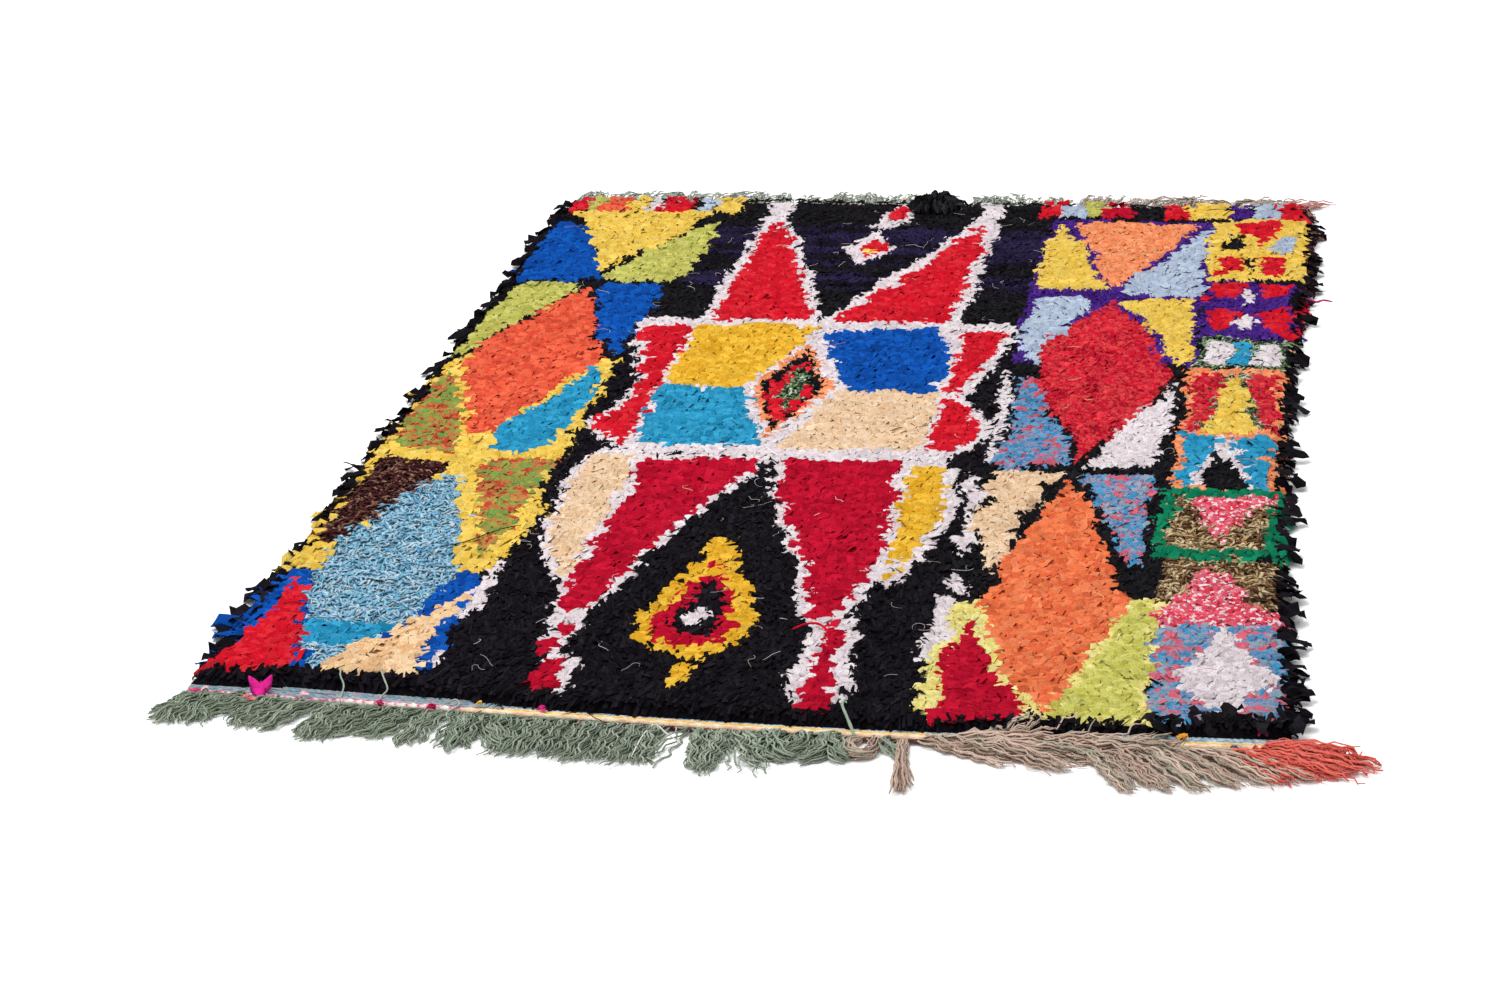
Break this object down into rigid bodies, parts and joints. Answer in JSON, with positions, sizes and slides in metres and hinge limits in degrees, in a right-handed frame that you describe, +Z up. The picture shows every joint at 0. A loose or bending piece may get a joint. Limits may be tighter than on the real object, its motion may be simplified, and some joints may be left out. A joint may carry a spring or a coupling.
{
  "type": "boucherouite rug",
  "caption": "Rectangular rag rug lying flat, shaggy knotted pile in bright lozenges and boxes on black, with flat-woven end bands and loose wool fringes.",
  "frame": {"origin": "middle of the flat underside, on the floor", "axes": "+Z up, +Y along the rug's length towards its far end, +X across it"},
  "size_m": [1.6108, 2.5074, 0.047],
  "materials": {
    "rag_pile": "cut rag strips, matt, mostly black with bright figures",
    "sage_wool": "crinkled sage green wool yarn",
    "beige_wool": "plied pinkish beige wool yarn",
    "coral_wool": "loose coral wool yarn",
    "magenta_rag": "twisted magenta jersey rag"
  },
  "bodies": {
    "root": {"rug_body": "rag_pile", "fringe_near_sage": "sage_wool", "fringe_far_sage": "sage_wool", "fringe_near_beige": "beige_wool", "fringe_far_beige": "beige_wool", "fringe_near_coral": "coral_wool", "fringe_far_coral": "coral_wool", "magenta_scrap": "magenta_rag"}
  },
  "joints": []
}
